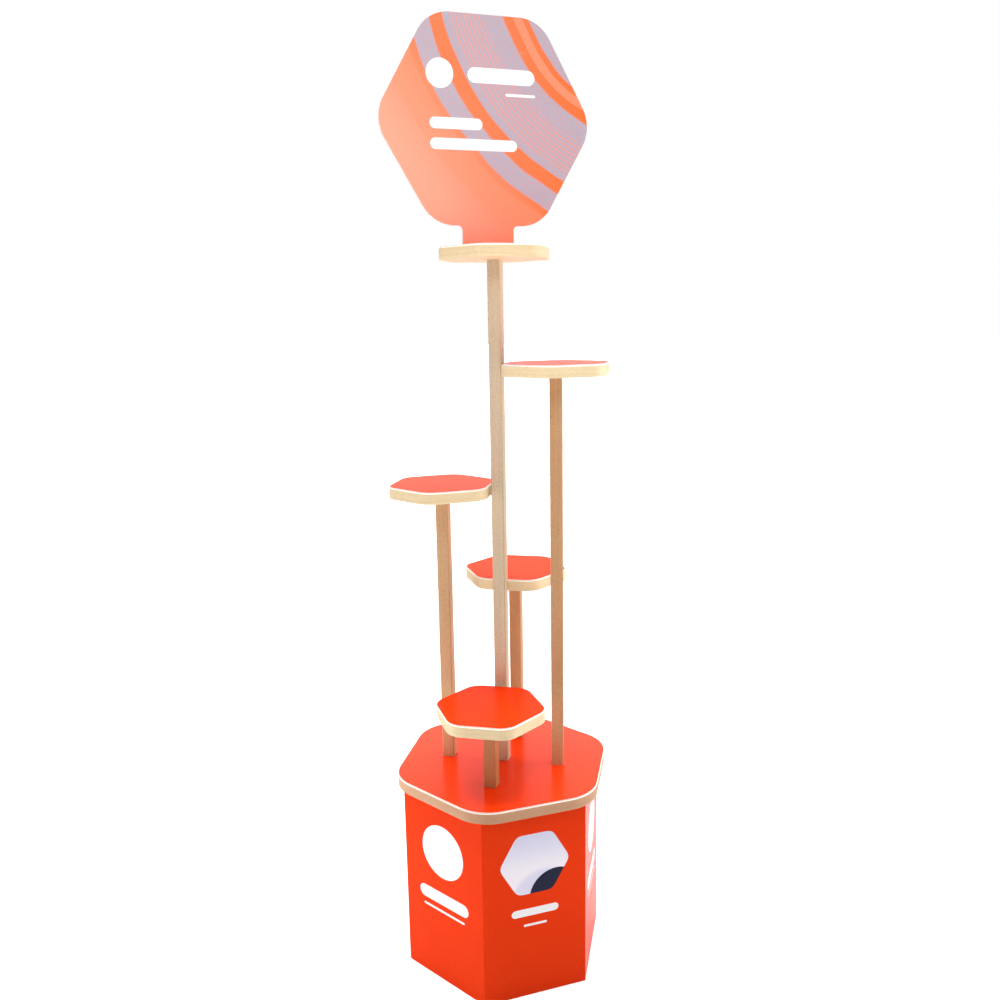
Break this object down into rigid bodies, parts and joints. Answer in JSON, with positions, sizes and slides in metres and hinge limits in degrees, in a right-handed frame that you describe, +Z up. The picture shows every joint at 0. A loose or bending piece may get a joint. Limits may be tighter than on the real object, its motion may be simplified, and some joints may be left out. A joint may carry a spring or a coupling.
{
  "type": "floor display stand",
  "caption": "Free-standing display stand: printed hexagonal base column, square wooden posts of stepped heights with hexagonal shelves, and a hexagonal header card.",
  "frame": {"origin": "on the floor, at the middle of the base", "axes": "+Z up along the tallest post, -Y towards the front corner of the base, +X to the right"},
  "size_m": [0.378, 0.3948, 1.655],
  "materials": {
    "sleeve_print": "satin printed orange",
    "panel_print": "satin printed orange",
    "header_print": "satin print in orange with soft mauve-grey bands",
    "board": "pale birch, fine grain, clear matt lacquer",
    "post": "planed beech, matt",
    "frame_board": "raw board, sawn edges",
    "frame_batten": "raw planed batten",
    "screw": "zinc plated"
  },
  "bodies": {
    "root": {"base_sleeve": "sleeve_print", "base_floor_board": "frame_board", "base_inner_board": "frame_board", "base_top_board": "board", "base_top_panel": "panel_print", "header_card": "header_print", "base_batten_1": "frame_batten", "base_batten_2": "frame_batten", "base_batten_3": "frame_batten", "base_batten_4": "frame_batten", "base_batten_5": "frame_batten", "base_batten_6": "frame_batten", "post_centre": "post", "shelf_board_centre": "board", "shelf_panel_centre": "panel_print", "post_right": "post", "shelf_board_right": "board", "shelf_panel_right": "panel_print", "post_left": "post", "shelf_board_left": "board", "shelf_panel_left": "panel_print", "post_back": "post", "shelf_board_back": "board", "shelf_panel_back": "panel_print", "post_front": "post", "shelf_board_front": "board", "shelf_panel_front": "panel_print", "post_screws": "screw", "shelf_screws": "screw", "floor_screws": "screw", "inner_board_screws": "screw"}
  },
  "joints": []
}
